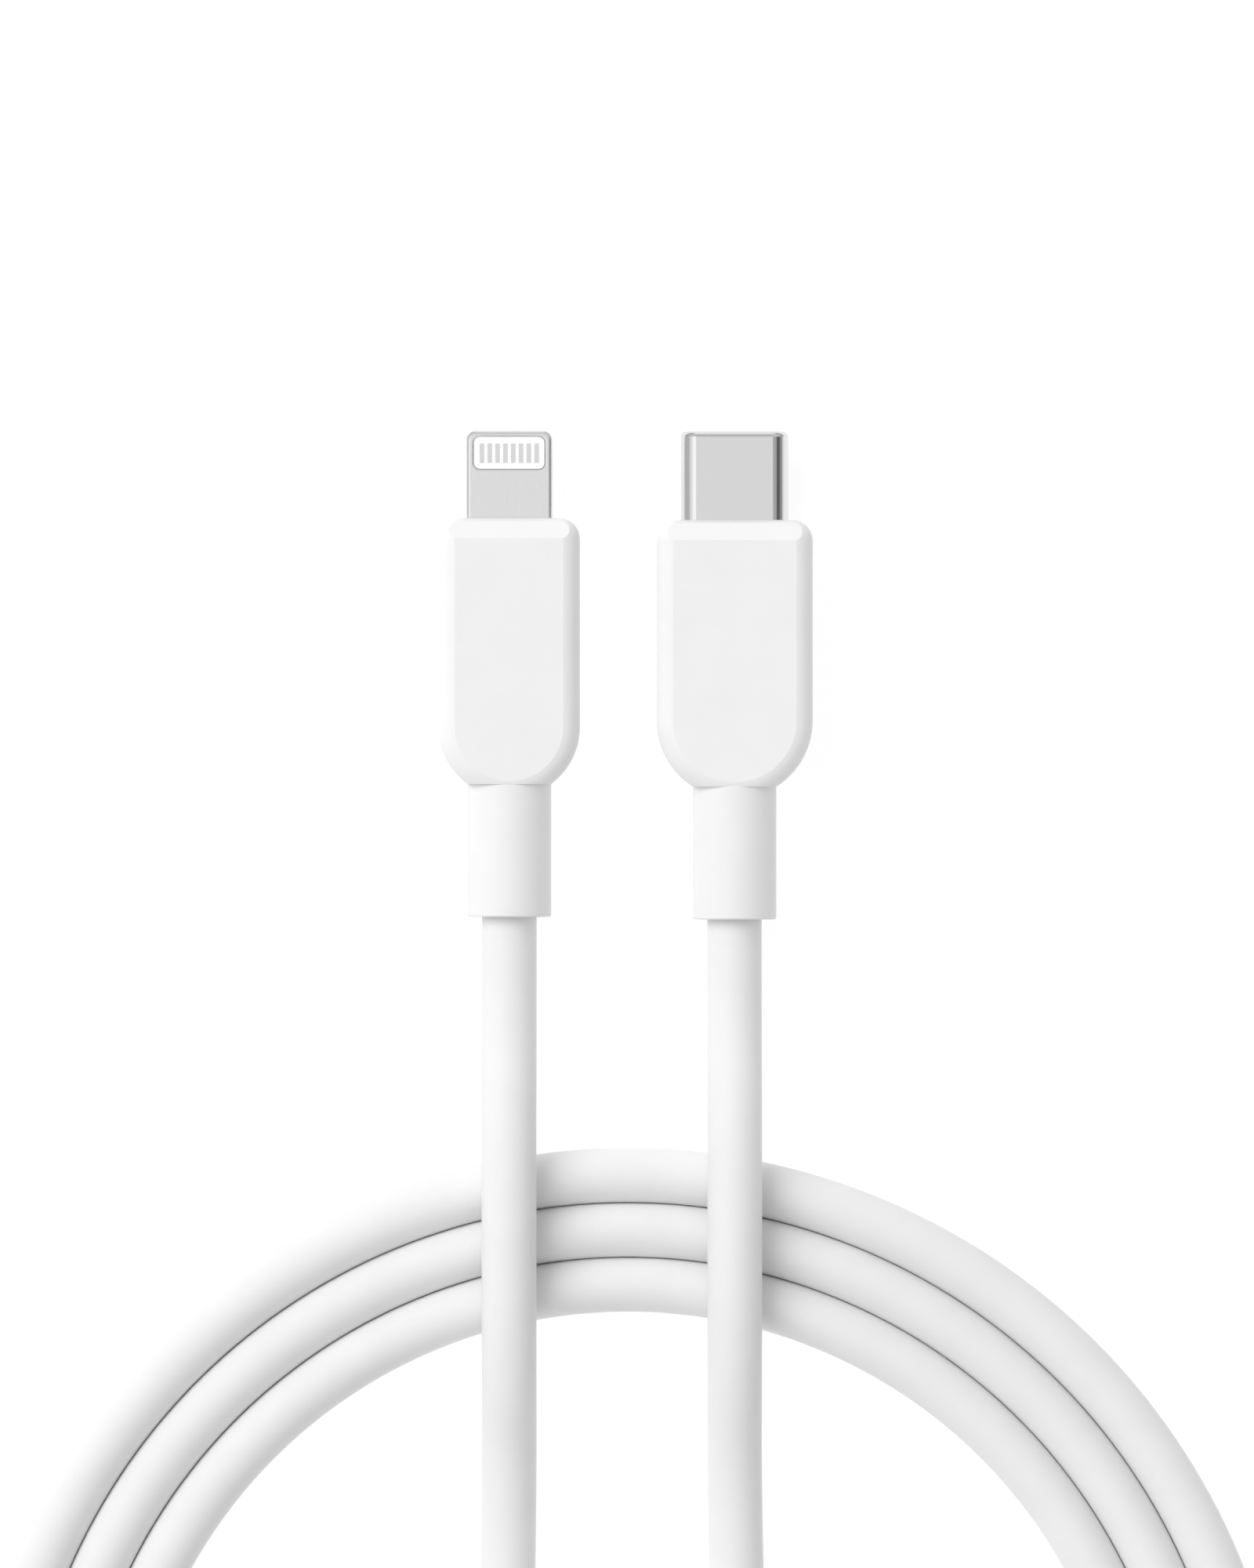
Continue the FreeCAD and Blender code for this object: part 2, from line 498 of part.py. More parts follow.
def casing(plug):
    body = new_body(f"{plug}_casing", plug)
    length, overrun = f"Dims.{plug}_casing_length", rounded_overrun(plug)
    outline = new_sketch(body, "outline", "XY_Plane", "-Dims.casing_height / 2 - Dims.edge_trim")
    draw_casing_outline(outline, f"Dims.{plug}_casing_width", f"{length} + {overrun}")
    solid = extrude(body, "solid", outline, "Dims.casing_height + 2 * Dims.edge_trim")
    round_edges(body, "edges", solid, "Dims.edge_round", lambda edge: True)
    for side, sign in (("top", ""), ("bottom", "-")):
        block(body, f"{side}_face", "-1", f"{length} + {overrun} + 1", f"Dims.{plug}_casing_width + 2",
              "1", "0", f"{sign}(Dims.casing_height + 1) / 2", cut=True)
    wedges = new_sketch(body, "front_wedges", "YZ_Plane", f"-Dims.{plug}_casing_width")
    draw_front_wedges(wedges)
    extrude(body, "front_bevels", wedges, f"2 * Dims.{plug}_casing_width", cut=True)
    block(body, "rear_face", length, f"{length} + {overrun} + 1", f"Dims.{plug}_casing_width + 2",
          "Dims.casing_height + 2", cut=True)
    if plug == "tab":
        opening = block(body, "front_opening", "-1", "Dims.mould_start", "Dims.tab_width",
                        "Dims.tab_thickness", cut=True)
        side, face = size("tab_width") / 2, size("tab_thickness") / 2
        round_edges(body, "opening_corners", opening, "Dims.tab_edge",
                    lambda edge: runs_along(edge, FreeCAD.Vector(0, 1, 0))
                    and abs(abs(edge.CenterOfMass.x) - side) < 0.01
                    and abs(abs(edge.CenterOfMass.z) - face) < 0.01)
    else:
        oval(body, "front_opening", "-1", "Dims.mould_start", "Dims.oval_width",
             "Dims.oval_thickness", cut=True)
    block(body, "mould_seat", "Dims.mould_start", "Dims.mould_end", "Dims.mould_width",
          "Dims.mould_height", cut=True)
    rod(body, "relief_seat", "Dims.mould_end", f"{length} + 1", "Dims.relief_neck", cut=True)


def strain_relief(plug):
    """A soft sleeve round the cord, with a neck that the casing holds."""
    body = new_body(f"{plug}_strain_relief", plug)
    out = f"Dims.{plug}_casing_length"
    end = f"{out} + Dims.{plug}_relief_length"
    sleeve = rod(body, "sleeve", out, end, f"Dims.{plug}_relief_radius")
    rear = -value_of(end)
    round_edges(body, "rim", sleeve, "Dims.relief_rim", lambda edge: abs(edge.CenterOfMass.y - rear) < 0.01)
    rod(body, "neck", "Dims.mould_end", out, "Dims.relief_neck")
    rod(body, "bore", "Dims.mould_end", end, "Dims.relief_bore", cut=True)
    rod(body, "ferrule_seat", "Dims.mould_end", "Dims.ferrule_end", "Dims.ferrule_outer + 0.02", cut=True)


def crimp_ferrule(plug):
    body = new_body(f"{plug}_crimp_ferrule", plug)
    rod(body, "ring", "Dims.ferrule_start", "Dims.ferrule_end", "Dims.ferrule_outer")
    rod(body, "bore", "Dims.ferrule_start", "Dims.ferrule_end", "Dims.ferrule_inner", cut=True)


def cord_end(plug):
    """The stretch of cord that the strain relief holds, up to where its jacket is stripped."""
    body = new_body(f"{plug}_cord_end", plug)
    rod(body, "jacket", "Dims.stripped_at", f"Dims.{plug}_casing_length + Dims.{plug}_relief_length",
        "Dims.cord_radius")


# ---- tubes along a route ---------------------------------------------------------------------


def rounded_path(points, label):
    """Straight runs joined by tangent arcs, each arc as large as its two runs allow."""
    edges, here, radii = [], points[0], []
    for before, corner, after in zip(points, points[1:], points[2:]):
        back, on = before - corner, after - corner
        shorter = min(back.Length, on.Length)
        back.normalize()
        on.normalize()
        tangent = 0.45 * shorter
        half_turn = (math.pi - back.getAngle(on)) / 2
        radii.append(tangent / math.tan(half_turn))
        arc_start, arc_end = corner + back * tangent, corner + on * tangent
        middle = (back + on).normalize()
        arc_middle = corner + middle * radii[-1] * (1 / math.cos(half_turn) - 1)
        edges.append(Part.LineSegment(here, arc_start).toShape())
        edges.append(Part.Arc(arc_start, arc_middle, arc_end).toShape())
        here = arc_end
    edges.append(Part.LineSegment(here, points[-1]).toShape())
    print(label, "bend radii:", " ".join(f"{radius:.1f}" for radius in radii))
    return Part.Wire(edges)


def tube_along(points, radius, label):
    path = rounded_path(points, label)
    circle = Part.Circle(points[0], (points[1] - points[0]).normalize(), radius)
    profile = Part.Wire([circle.toShape()])
    tube = path.makePipeShell([profile], True, False)
    expected = math.pi * radius ** 2 * path.Length
    print(f"{label}: length {path.Length:.1f}, volume {tube.Volume:.2f} against {expected:.2f}")
    if abs(tube.Volume / expected - 1) > 0.01:
        raise RuntimeError(f"{label}: volume doesn't match its section and length")
    return tube


def feature_of(label, shape):
    feature = doc.addObject("Part::Feature", label)
    feature.Label = label
    feature.Shape = shape
    nodes[label] = feature
    return feature


WIRES = {
    "power": (-1, 1, "wire_outer_pad"), "ground": (1, 1, "wire_outer_pad"),
    "data_plus": (-1, -1, "wire_inner_pad"), "data_minus": (1, -1, "wire_inner_pad"),
}


def wires(plug):
    """Four wires from the stripped cord to the board: two above it and two below."""
    radius, spread = size("wire_radius"), size("wire_in_cord")
    start, tip = size("stripped_at"), size("wire_tip")
    pad_height = size("board_thickness") / 2 + radius
    for name, (across, up, pad) in WIRES.items():
        cord_side = (across * spread, up * pad_height)
        board_side = (across * size(pad), up * pad_height)
        step = (start - tip) / 4
        depths = (start, start - step, start - 2 * step, tip)
        places = (cord_side, cord_side, board_side, board_side)
        points = [FreeCAD.Vector(x, -depth, z) for depth, (x, z) in zip(depths, places)]
        label = f"{plug}_wire_{name}"
        feature = feature_of(label, tube_along(points, radius, label))
        place_in_plug(feature, plug)


# ---- the cord outside the plugs --------------------------------------------------------------


def on_coil(radius, degrees):
    angle = math.radians(degrees)
    x, y = size("coil_x") + radius * math.cos(angle), size("coil_y") + radius * math.sin(angle)
    return FreeCAD.Vector(x, y, size("cord_radius"))


def cord_leads():
    radius = size("cord_radius")
    outer_turn = size("coil_outer") - radius
    inner_turn = outer_turn - 2 * radius * (size("coil_turns") - 1)
    ends = {
        "cord_lead_tab": (TAB_LEAD, on_coil(inner_turn, size("join_angle"))),
        "cord_lead_oval": (OVAL_LEAD, on_coil(outer_turn, size("leave_angle"))),
    }
    for label, (route, meets_coil) in ends.items():
        points = [FreeCAD.Vector(*point) for point in route] + [meets_coil]
        feature_of(label, tube_along(points, radius, label))


def lane_pocket(body, name, inner, outer, start_angle, sweep):
    """Cut a stretch of one lane of the coil, full height, between two radii."""
    sketch = new_sketch(body, name + "_plan", "XY_Plane", "-1")
    r_in, r_out = value_of(inner), value_of(outer)
    first, last = math.radians(start_angle), math.radians(start_angle + sweep)
    middle, normal = FreeCAD.Vector(0, 0, 0), FreeCAD.Vector(0, 0, 1)
    at = lambda r, angle: FreeCAD.Vector(r * math.cos(angle), r * math.sin(angle), 0)
    sketch.addGeometry(Part.ArcOfCircle(Part.Circle(middle, normal, r_in), first, last))
    sketch.addGeometry(Part.ArcOfCircle(Part.Circle(middle, normal, r_out), first, last))
    sketch.addGeometry(Part.LineSegment(at(r_in, first), at(r_out, first)))
    sketch.addGeometry(Part.LineSegment(at(r_in, last), at(r_out, last)))
    for arc, radius, expression in ((0, r_in, inner), (1, r_out, outer)):
        sketch.addConstraint(Sketcher.Constraint("Coincident", arc, CENTRE, *ORIGIN_POINT))
        sketch.addConstraint(Sketcher.Constraint("Coincident", arc, START, 2, START + arc))
        sketch.addConstraint(Sketcher.Constraint("Coincident", arc, END, 3, START + arc))
        sketch.addConstraint(Sketcher.Constraint("Radius", arc, radius))
        sketch.renameConstraint(sketch.ConstraintCount - 1, f"radius_{arc}")
        bind(sketch, f"Constraints.radius_{arc}", expression)
    extrude(body, name, sketch, "2 * Dims.cord_radius + 2", cut=True)


def cord_coil():
    """The outer shape of three flat turns, open where the two leads come in and go out."""
    body = new_body("cord_coil")
    bind(body, "Placement.Base.x", "Dims.coil_x")
    bind(body, "Placement.Base.y", "Dims.coil_y")
    band = "2 * Dims.coil_turns * Dims.cord_radius"
    section = new_sketch(body, "section", "XZ_Plane", "0")
    draw_band_section(section)
    ring = body.newObject("PartDesign::Revolution", "ring")
    ring.Profile = section
    ring.ReferenceAxis = (section, ["V_Axis"])
    ring.Angle = 360
    doc.recompute()
    inner_edge = f"Dims.coil_outer - {band}"
    join, leave = size("join_angle"), size("leave_angle")
    lane_pocket(body, "inner_lane", f"{inner_edge} - 1",
                f"{inner_edge} + 2 * Dims.cord_radius + Dims.lane_gap",
                join - size("inner_lane_free"), size("inner_lane_free"))
    lane_pocket(body, "outer_lane", "Dims.coil_outer - 2 * Dims.cord_radius - Dims.outer_lane_cut",
                "Dims.coil_outer + 1", leave, size("outer_lane_free"))


def draw_band_section(sketch):
    """Three turns wide and one cord high, with the cord's own rounding at both sides."""
    r = size("cord_radius")
    outside = size("coil_outer") - r
    inside = outside - 2 * r * (size("coil_turns") - 1)
    up, normal = math.pi / 2, FreeCAD.Vector(0, 0, 1)
    place = lambda x, y: FreeCAD.Vector(x, y, 0)
    sketch.addGeometry(Part.LineSegment(place(inside, 0), place(outside, 0)))
    sketch.addGeometry(Part.ArcOfCircle(Part.Circle(place(outside, r), normal, r), -up, up))
    sketch.addGeometry(Part.LineSegment(place(outside, 2 * r), place(inside, 2 * r)))
    sketch.addGeometry(Part.ArcOfCircle(Part.Circle(place(inside, r), normal, r), up, 3 * up))
    for i in range(4):
        sketch.addConstraint(Sketcher.Constraint("Tangent", i, END, (i + 1) % 4, START))
    sketch.addConstraint(Sketcher.Constraint("Horizontal", 0))
    pin_distance(sketch, "DistanceY", (0, START), (3, START), "height", "2 * Dims.cord_radius")
    pin_distance(sketch, "DistanceX", (3, CENTRE), (1, CENTRE), "between",
                 "2 * Dims.cord_radius * (Dims.coil_turns - 1)")
    pin_distance(sketch, "DistanceX", ORIGIN_POINT, (1, CENTRE), "outside",
                 "Dims.coil_outer - Dims.cord_radius")
    pin_distance(sketch, "DistanceY", ORIGIN_POINT, (0, START), "low", "0")


# ---- build, check and write ------------------------------------------------------------------


def build():
    tab_frame()
    tab_contact_insulator()
    tab_circuit_board()
    oval_shell()
    oval_contact_housing()
    oval_latch_spring()
    oval_ground_springs()
    oval_circuit_board()
    for side, sign in (("upper", ""), ("lower", "-")):
        tab_contacts(side, sign)
        oval_contacts(side, sign)
        for plug in ("tab", "oval"):
            shield_can(plug, side, sign)
    chip("tab", "tab_control_chip")
    chip("oval", "oval_marker_chip")
    small_parts("tab", "tab_capacitors")
    small_parts("oval", "oval_resistors")
    for plug in ("tab", "oval"):
        inner_mould(plug)
        casing(plug)
        strain_relief(plug)
        crimp_ferrule(plug)
        cord_end(plug)
        wires(plug)
    cord_coil()
    cord_leads()
    doc.recompute()


def check():
    for item in doc.Objects:
        if "Invalid" in item.State or "Error" in item.State:
            raise RuntimeError(f"{item.Label} failed: {item.State}")
    for label, item in nodes.items():
        if item.Shape.isNull() or not item.Shape.isValid():
            raise RuntimeError(f"{label} has no valid shape")
        print(f"{label}: {len(item.Shape.Solids)} solid(s), volume {item.Shape.Volume:.2f}")


def write():
    os.makedirs("parts", exist_ok=True)
    for label, item in nodes.items():
        item.Shape.exportStep(f"parts/{label}.step")


build()
check()
write()
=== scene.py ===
import json
import math

import bpy
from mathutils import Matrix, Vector


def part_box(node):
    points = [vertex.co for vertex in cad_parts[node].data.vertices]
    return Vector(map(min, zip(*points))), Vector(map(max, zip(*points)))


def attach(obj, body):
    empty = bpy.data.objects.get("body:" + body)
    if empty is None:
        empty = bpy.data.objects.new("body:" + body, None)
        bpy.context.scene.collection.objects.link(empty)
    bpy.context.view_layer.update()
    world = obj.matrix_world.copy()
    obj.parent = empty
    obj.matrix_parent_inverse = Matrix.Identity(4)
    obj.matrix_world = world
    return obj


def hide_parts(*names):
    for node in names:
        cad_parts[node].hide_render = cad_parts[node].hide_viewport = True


# Charging cable lying flat: a tab plug, an oval plug and one round cord in a flat coil.
# Metres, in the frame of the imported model: +Z up, +Y towards the plugs' tips.

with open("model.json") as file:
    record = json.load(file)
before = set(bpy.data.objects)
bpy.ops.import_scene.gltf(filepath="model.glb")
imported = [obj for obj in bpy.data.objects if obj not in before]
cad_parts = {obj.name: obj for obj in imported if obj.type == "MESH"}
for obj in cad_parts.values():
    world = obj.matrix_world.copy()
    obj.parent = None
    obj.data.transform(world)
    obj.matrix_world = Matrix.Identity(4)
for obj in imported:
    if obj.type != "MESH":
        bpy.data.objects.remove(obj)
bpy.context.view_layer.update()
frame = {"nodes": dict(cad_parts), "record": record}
nodes = frame["nodes"]
MM = 0.001


# ---- camera ----------------------------------------------------------------------------------

VIEW_HEIGHT = 0.1205  # what the picture's height covers at the plugs' middle
VIEW_CENTRE = Vector((0.0001, -0.0084, 0.0))
LENS, SENSOR = 300.0, 36.0


def make_camera():
    camera = bpy.data.objects.new("camera", bpy.data.cameras.new("camera"))
    bpy.context.scene.collection.objects.link(camera)
    camera.data.lens = LENS
    camera.data.sensor_width = SENSOR
    plug_mid_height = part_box("tab_casing")[1][2] / 2
    distance = VIEW_HEIGHT * LENS / SENSOR
    camera.location = VIEW_CENTRE + Vector((0, 0, distance + plug_mid_height))
    camera.data.clip_start, camera.data.clip_end = 0.05, 20.0
    bpy.context.scene.camera = camera


# ---- cord ------------------------------------------------------------------------------------

CORD_RADIUS = 2.1 * MM
COIL_CENTRE = (0.15 * MM, -87.4 * MM)
OUTER_TURN_RADIUS = 48.9 * MM
TURNS = 3
# Degrees, anticlockwise from +X
JOIN_ANGLE, LEAVE_ANGLE = -38.0, 226.0
STEP_OUT_FROM, STEP_OUT_TO = 235.0, 318.0
COIL_STEP = 14.9

# The leads' routes: from each plug over the coil's near side and down inside the coil, to where
# the tab plug's lead joins its inner turn and the oval plug's lead its outer one.
TAB_LEAD = [
    (-0.00894, -0.0186, 0.0033), (-0.00894, -0.0266, 0.0033), (-0.00894, -0.0343, 0.0066),
    (-0.00894, -0.0510, 0.0066), (-0.00894, -0.0620, 0.0021), (-0.00915, -0.0755, 0.0021),
    (-0.00895, -0.0882, 0.0021), (-0.0078, -0.1012, 0.0021), (-0.0039, -0.1125, 0.0021),
    (0.0024, -0.1195, 0.0021), (0.0112, -0.1229, 0.0021), (0.0205, -0.1219, 0.0021),
    (0.02848, -0.11692, 0.0021),
]
OVAL_LEAD = [
    (0.00836, -0.0188, 0.0033), (0.00836, -0.0268, 0.0033), (0.00836, -0.0345, 0.0066),
    (0.00836, -0.0512, 0.0066), (0.00836, -0.0622, 0.0021), (0.0087, -0.0760, 0.0021),
    (0.0089, -0.0900, 0.0021), (0.0087, -0.1040, 0.0021), (0.0083, -0.1157, 0.0066),
    (0.0031, -0.1255, 0.0066), (-0.0061, -0.1318, 0.0066), (-0.0171, -0.1329, 0.0066),
    (-0.02742, -0.12876, 0.0021),
]


def smooth(t):
    """Ease from 0 to 1 as t goes from 0 to 1."""
    t = min(max(t, 0.0), 1.0)
    return t * t * (3 - 2 * t)


def turn_radius(angle):
    """The cord's distance from the coil's centre: every lap steps out by one diameter between
    STEP_OUT_FROM and STEP_OUT_TO, and is a circle elsewhere."""
    laps = math.floor(angle / 360.0)
    within = angle - 360.0 * laps
    lane = laps + smooth((within - STEP_OUT_FROM) / (STEP_OUT_TO - STEP_OUT_FROM))
    return OUTER_TURN_RADIUS - 2 * CORD_RADIUS * (TURNS - 1 - lane)


def coil_points():
    """Control points of the turns. They stand outside the circle that their spline follows."""
    first = JOIN_ANGLE + COIL_STEP / 2
    last = LEAVE_ANGLE + 360.0 * (TURNS - 1) - COIL_STEP / 2
    steps = round((last - first) / COIL_STEP)
    outside = 1 / math.cos(math.radians(COIL_STEP / 2))
    for i in range(steps + 1):
        angle = first + (last - first) * i / steps
        # the first points come before lap 0 begins at angle 0, on the inner turn
        radius = turn_radius(max(angle, 0.0)) * outside
        turn = math.radians(angle)
        x, y = COIL_CENTRE
        yield (x + radius * math.cos(turn), y + radius * math.sin(turn), CORD_RADIUS)


def make_cord(material):
    points = TAB_LEAD + list(coil_points()) + OVAL_LEAD[::-1]
    curve = bpy.data.curves.new("cord", "CURVE")
    curve.dimensions = "3D"
    curve.bevel_depth = CORD_RADIUS
    curve.bevel_resolution = 14
    curve.use_fill_caps = True
    spline = curve.splines.new("NURBS")
    spline.points.add(len(points) - 1)
    for point, place in zip(spline.points, points):
        point.co = (*place, 1.0)
    spline.order_u = 3
    spline.use_endpoint_u = True
    spline.resolution_u = 10
    cord = bpy.data.objects.new("cord", curve)
    bpy.context.scene.collection.objects.link(cord)
    curve.materials.append(material)
    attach(cord, "root")
    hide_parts("cord_lead_tab", "cord_coil", "cord_lead_oval")


# ---- strain reliefs --------------------------------------------------------------------------

RELIEF_RIM, RELIEF_LIP = 0.16 * MM, 0.12 * MM
CORD_CLEARANCE = 0.05 * MM
HELD_IN_CASING = 0.8 * MM
SLEEVE_SIDES = 128


def relief_profile(radius, rear, casing_rear):
    """Half section of the soft sleeve, as (radius, place along the plug), once round."""
    rim, lip, bore = RELIEF_RIM, RELIEF_LIP, CORD_RADIUS + CORD_CLEARANCE
    inside_casing = casing_rear + HELD_IN_CASING
    profile = [(bore, inside_casing), (radius, inside_casing)]
    for i in range(9):  # the outer rim at the rear
        turn = math.radians(90 * i / 8)
        profile.append((radius - rim * (1 - math.cos(turn)), rear + rim * (1 - math.sin(turn))))
    for i in range(7):  # the lip round the cord
        turn = math.radians(90 * i / 6)
        profile.append((bore + lip * (1 - math.sin(turn)), rear + lip * (1 - math.cos(turn))))
    return profile


def make_strain_relief(plug, material):
    low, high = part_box(f"{plug}_strain_relief")
    casing_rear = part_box(f"{plug}_casing")[0][1]
    middle_x, middle_z = (low[0] + high[0]) / 2, (low[2] + high[2]) / 2
    profile = relief_profile((high[0] - low[0]) / 2, low[1], casing_rear)
    along = len(profile)
    mesh = bpy.data.meshes.new(f"{plug}_relief_sleeve")
    verts, faces = [], []
    for i in range(SLEEVE_SIDES):
        turn = 2 * math.pi * i / SLEEVE_SIDES
        for radius, y in profile:
            verts.append((middle_x + radius * math.cos(turn), y, middle_z + radius * math.sin(turn)))
        after = (i + 1) % SLEEVE_SIDES
        for j in range(along):
            ahead = (j + 1) % along
            faces.append((i * along + j, after * along + j, after * along + ahead, i * along + ahead))
    mesh.from_pydata(verts, [], faces)
    mesh.validate()
    mesh.materials.append(material)
    mesh.polygons.foreach_set("use_smooth", [True] * len(mesh.polygons))
    mesh.set_sharp_from_angle(angle=math.radians(40))
    sleeve = bpy.data.objects.new(f"{plug}_relief_sleeve", mesh)
    bpy.context.scene.collection.objects.link(sleeve)
    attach(sleeve, "root")
    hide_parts(f"{plug}_strain_relief")


# ---- materials -------------------------------------------------------------------------------


def add(material, kind, **inputs):
    node = material.node_tree.nodes.new(kind)
    for name, value in inputs.items():
        node.inputs[name.replace("_", " ")].default_value = value
    return node


def new_material(name, colour, roughness, metallic=0.0, specular=0.5):
    material = bpy.data.materials.new(name)
    material.use_nodes = True
    shader = material.node_tree.nodes["Principled BSDF"]
    shader.inputs["Base Color"].default_value = (*colour, 1.0)
    shader.inputs["Roughness"].default_value = roughness
    shader.inputs["Metallic"].default_value = metallic
    shader.inputs["Specular IOR Level"].default_value = specular
    return material, shader


def surface_noise(material, scale, stretch=(1, 1, 1), detail=3.0):
    """Noise over the piece's own place, scale features per metre, stretched along an axis."""
    links = material.node_tree.links
    place = add(material, "ShaderNodeTexCoord")
    mapping = add(material, "ShaderNodeMapping", Scale=stretch)
    noise = add(material, "ShaderNodeTexNoise", Scale=scale, Detail=detail)
    links.new(place.outputs["Object"], mapping.inputs["Vector"])
    links.new(mapping.outputs["Vector"], noise.inputs["Vector"])
    return noise


def vary_colour(material, shader, noise, low, high):
    ramp = add(material, "ShaderNodeValToRGB")
    first, last = ramp.color_ramp.elements
    first.position, last.position = 0.35, 0.65
    first.color, last.color = (*low, 1.0), (*high, 1.0)
    material.node_tree.links.new(noise.outputs["Fac"], ramp.inputs["Fac"])
    material.node_tree.links.new(ramp.outputs["Color"], shader.inputs["Base Color"])


def vary_roughness(material, shader, noise, low, high):
    levels = add(material, "ShaderNodeMapRange", From_Min=0.3, From_Max=0.7, To_Min=low, To_Max=high)
    material.node_tree.links.new(noise.outputs["Fac"], levels.inputs["Value"])
    material.node_tree.links.new(levels.outputs["Result"], shader.inputs["Roughness"])


def add_bump(material, shader, noise, strength, depth):
    bump = add(material, "ShaderNodeBump", Strength=strength, Distance=depth)
    material.node_tree.links.new(noise.outputs["Fac"], bump.inputs["Height"])
    material.node_tree.links.new(bump.outputs["Normal"], shader.inputs["Normal"])


def grey(level):
    return (level, level, level)


def moulded(name, level, roughness, grain, depth, specular=0.32):
    """Moulded plastic or elastomer: faint unevenness of tone and a fine matt grain."""
    material, shader = new_material(name, grey(level), roughness, specular=specular)
    vary_colour(material, shader, surface_noise(material, 350.0), grey(level * 0.985), grey(level))
    fine = surface_noise(material, grain, detail=5.0)
    vary_roughness(material, shader, fine, roughness - 0.05, roughness + 0.05)
    add_bump(material, shader, fine, 0.35, depth)
    return material


def metal(name, colour, roughness, grain=9000.0, along=0.06, depth=0.15e-6):
    """Metal with faint drawing lines that run along the plug."""
    material, shader = new_material(name, colour, roughness, metallic=1.0)
    lines = surface_noise(material, grain, stretch=(1, along, 1), detail=4.0)
    dim = tuple(part * 0.985 for part in colour)
    vary_colour(material, shader, lines, dim, colour)
    vary_roughness(material, shader, lines, roughness - 0.03, roughness + 0.03)
    add_bump(material, shader, lines, 0.15, depth)
    return material


def tinted(name, colour, roughness):
    """Laminate, epoxy, ceramic or wire insulation in one uneven colour."""
    material, shader = new_material(name, colour, roughness)
    dim = tuple(part * 0.85 for part in colour)
    fine = surface_noise(material, 2500.0)
    vary_colour(material, shader, fine, dim, colour)
    add_bump(material, shader, fine, 0.2, 4e-6)
    return material


def make_materials():
    return {
        "cord_jacket": moulded("cord_jacket", 0.825, 0.50, 9000.0, 1.2e-6),
        "casing_white": moulded("casing_white", 0.875, 0.54, 12000.0, 1.5e-6),
        "relief_white": moulded("relief_white", 0.86, 0.52, 10000.0, 1.2e-6),
        "insulator_white": moulded("insulator_white", 1.0, 0.35, 15000.0, 0.8e-6),
        "housing_black": moulded("housing_black", 0.03, 0.45, 15000.0, 1e-6),
        "mould_plastic": moulded("mould_plastic", 0.72, 0.55, 6000.0, 2e-6),
        "tab_steel": metal("tab_steel", (0.86, 0.86, 0.862), 0.30),
        "shell_steel": metal("shell_steel", (0.745, 0.745, 0.748), 0.13),
        "contact_plating": metal("contact_plating", (0.84, 0.84, 0.84), 0.30, 16000.0),
        "spring_steel": metal("spring_steel", (0.58, 0.58, 0.59), 0.25),
        "can_tin": metal("can_tin", (0.66, 0.66, 0.65), 0.35),
        "ferrule_brass": metal("ferrule_brass", (0.70, 0.55, 0.28), 0.30),
        "board_laminate": tinted("board_laminate", (0.03, 0.14, 0.06), 0.35),
        "chip_epoxy": tinted("chip_epoxy", (0.03, 0.03, 0.03), 0.55),
        "small_ceramic": tinted("small_ceramic", (0.42, 0.28, 0.16), 0.50),
        "wire_red": tinted("wire_red", (0.45, 0.03, 0.02), 0.40),
        "wire_black": tinted("wire_black", (0.02, 0.02, 0.02), 0.40),
        "wire_green": tinted("wire_green", (0.03, 0.25, 0.06), 0.40),
        "wire_white": tinted("wire_white", (0.78, 0.78, 0.77), 0.40),
    }


def paint_nodes(materials):
    """Give every CAD node the material of its slot in the record. Its mesh and the normals that
    come with it stay as they are."""
    slots = {part["node"]: part["material_slot"] for part in frame["record"]["subparts"]}
    for name, node in nodes.items():
        for slot in node.material_slots:
            slot.material = materials[slots[name]]


# ---- floor and light -------------------------------------------------------------------------


def make_floor():
    """A floor that glows, so that it is white except for soft shadows."""
    mesh = bpy.data.meshes.new("floor")
    reach = 4.0
    below = -0.02 * MM  # clear of the faces that lie on it
    corners = [(-reach, -reach), (reach, -reach), (reach, reach), (-reach, reach)]
    corners = [(x, y, below) for x, y in corners]
    mesh.from_pydata(corners, [], [(0, 1, 2, 3)])
    floor = bpy.data.objects.new("floor", mesh)
    bpy.context.scene.collection.objects.link(floor)
    material, shader = new_material("floor", grey(0.30), 0.9, specular=0.0)
    shader.inputs["Emission Color"].default_value = (1.0, 1.0, 1.0, 1.0)
    shader.inputs["Emission Strength"].default_value = 0.80
    mesh.materials.append(material)


def make_key_light():
    """One large soft light from the upper left."""
    light = bpy.data.lights.new("key", "SUN")
    light.energy = 1.55
    light.angle = math.radians(40)
    key = bpy.data.objects.new("key", light)
    bpy.context.scene.collection.objects.link(key)
    towards = Vector((-0.52, 0.42, 0.74))
    key.rotation_euler = towards.to_track_quat("Z", "Y").to_euler()
    key.visible_glossy = False  # polished metal shows the studio's cards instead


# Brightness of the studio by height, from the horizon to the zenith
WALLS = [(0.0, 0.34), (0.30, 0.50), (0.60, 0.66), (0.85, 0.70), (0.96, 0.90)]
# from the coil's side to the plugs' in a narrow band overhead: grey card, ceiling, grey card, wall
REAR_CARD = [(0.0, 0.60), (0.40, 0.60), (0.46, 0.90), (0.55, 0.90), (0.59, 0.58), (0.86, 0.58),
             (0.90, 0.98)]
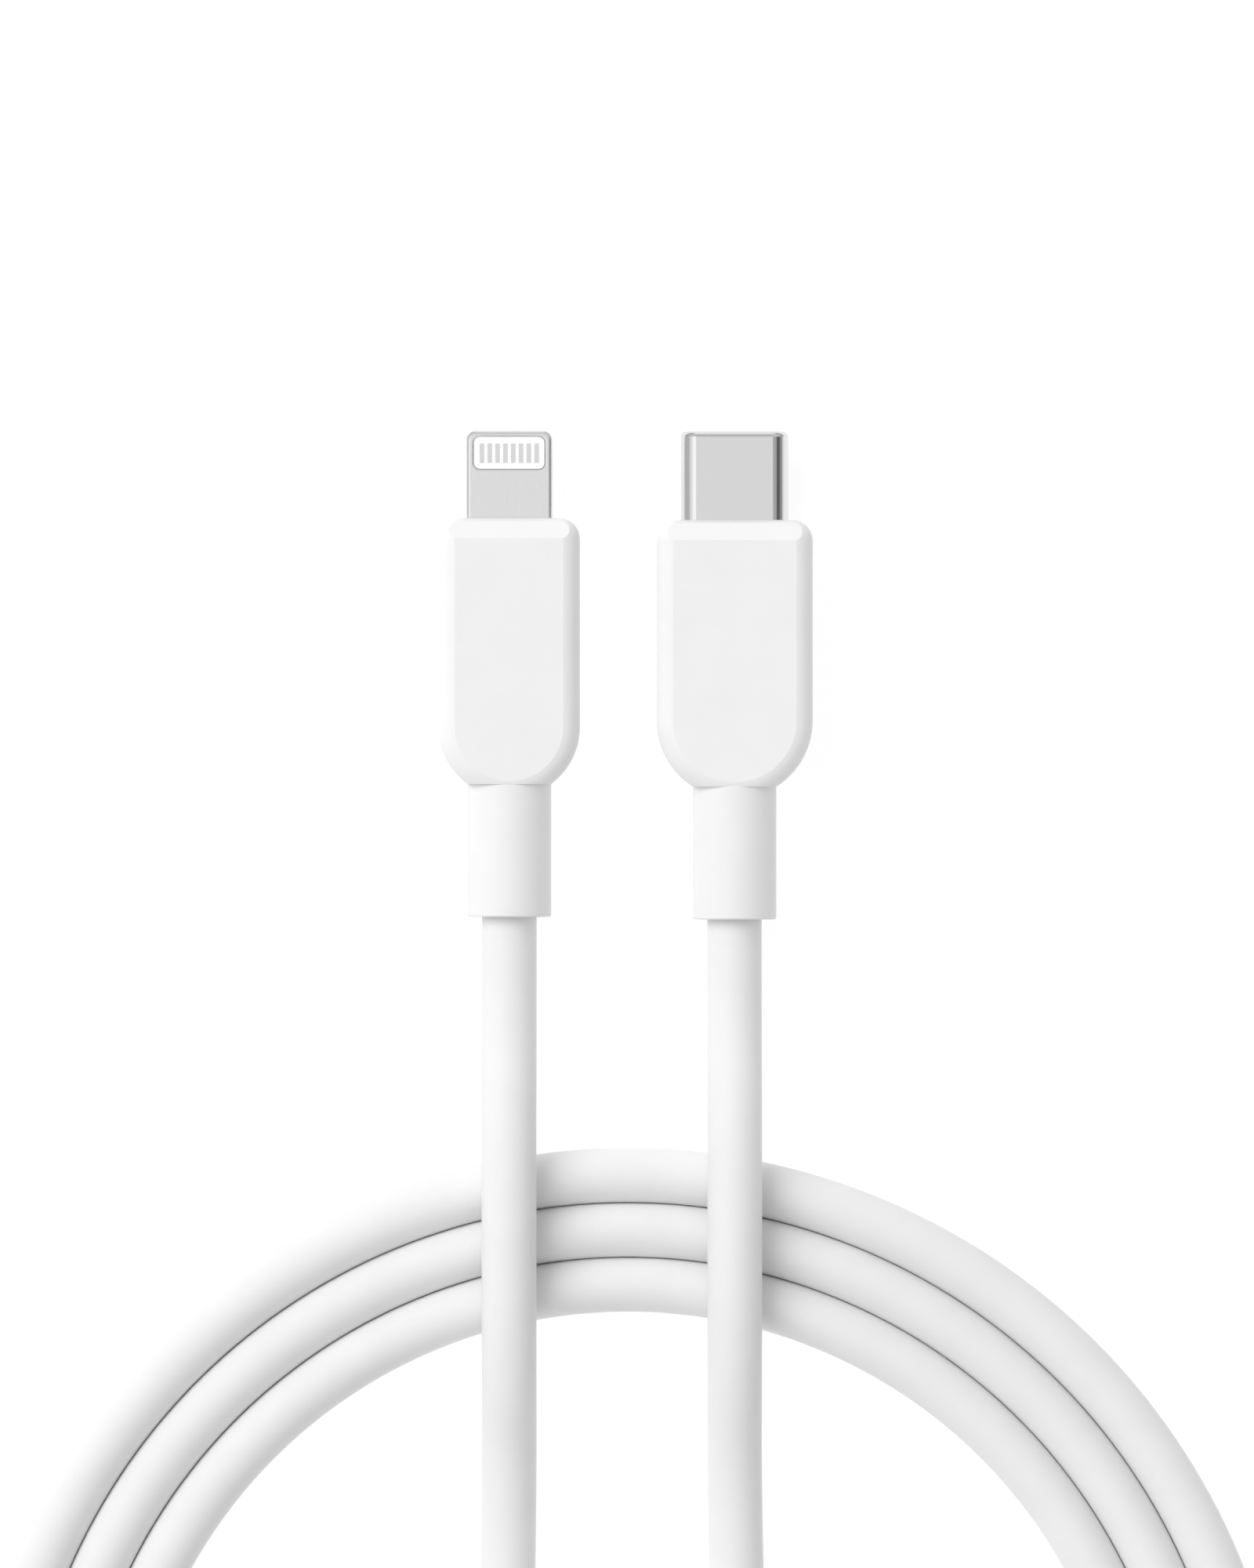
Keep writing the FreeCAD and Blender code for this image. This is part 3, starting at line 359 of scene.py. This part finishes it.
# and from left to right in such a band: grey wall, white card, ceiling, grey card, black card, wall
SIDE_CARDS = [(0.0, 0.55), (0.12, 0.62), (0.16, 0.95), (0.27, 0.98), (0.31, 1.25), (0.42, 1.25),
              (0.46, 0.92), (0.54, 0.90), (0.57, 0.50), (0.71, 0.46), (0.755, 0.12), (0.88, 0.12),
              (0.91, 0.33), (0.97, 0.33), (0.99, 0.90)]
BAND, BAND_WITH_EDGE = 0.14, 0.26  # half widths of a band of cards
BRIGHTEST = 2.0  # colours go no higher than 1, so they hold the levels as parts of this


def ramp_of_levels(tree, levels, value):
    """A ramp of grey levels, as parts of BRIGHTEST."""
    ramp = tree.nodes.new("ShaderNodeValToRGB")
    stops = ramp.color_ramp.elements
    for i, (position, level) in enumerate(levels):
        stop = stops[i] if i < 2 else stops.new(position)
        stop.position = position
        stop.color = (*grey(level / BRIGHTEST), 1.0)
    tree.links.new(value, ramp.inputs["Fac"])
    return ramp.outputs["Color"]


def spread(tree, value, low, high, to_low, to_high, kind="LINEAR"):
    node = tree.nodes.new("ShaderNodeMapRange")
    node.interpolation_type = kind
    for name, number in (("From Min", low), ("From Max", high), ("To Min", to_low), ("To Max", to_high)):
        node.inputs[name].default_value = number
    tree.links.new(value, node.inputs["Value"])
    return node.outputs["Result"]


def hang_cards(tree, behind, levels, along, aside):
    """Lay a band of cards over the studio: levels run along one axis, near 0 on the other."""
    cards = ramp_of_levels(tree, levels, spread(tree, along, -1.0, 1.0, 0.0, 1.0))
    off_centre = tree.nodes.new("ShaderNodeMath")
    off_centre.operation = "ABSOLUTE"
    tree.links.new(aside, off_centre.inputs[0])
    mix = tree.nodes.new("ShaderNodeMix")
    mix.data_type = "RGBA"
    factor, first, second, result = mix.inputs[0], mix.inputs[6], mix.inputs[7], mix.outputs[2]
    on_band = spread(tree, off_centre.outputs[0], BAND, BAND_WITH_EDGE, 1.0, 0.0, "SMOOTHSTEP")
    tree.links.new(on_band, factor)
    tree.links.new(behind, first)
    tree.links.new(cards, second)
    return result


def make_world():
    """A white studio with white, grey and black cards overhead, which draw the light and dark
    lines along polished metal."""
    world = bpy.data.worlds.new("studio")
    bpy.context.scene.world = world
    world.use_nodes = True
    tree = world.node_tree
    place = tree.nodes.new("ShaderNodeTexCoord")
    axes = tree.nodes.new("ShaderNodeSeparateXYZ")
    tree.links.new(place.outputs["Generated"], axes.inputs["Vector"])
    walls = ramp_of_levels(tree, WALLS, axes.outputs["Z"])
    with_rear = hang_cards(tree, walls, REAR_CARD, axes.outputs["Y"], axes.outputs["X"])
    result = hang_cards(tree, with_rear, SIDE_CARDS, axes.outputs["X"], axes.outputs["Y"])
    sky = tree.nodes["Background"]
    sky.inputs["Strength"].default_value = BRIGHTEST
    tree.links.new(result, sky.inputs["Color"])


bpy.context.scene.view_settings.view_transform = "Standard"
bpy.context.scene.view_settings.look = "None"
make_camera()
materials = make_materials()
make_cord(materials["cord_jacket"])
for plug in ("tab", "oval"):
    make_strain_relief(plug, materials["relief_white"])
paint_nodes(materials)
make_floor()
make_key_light()
make_world()
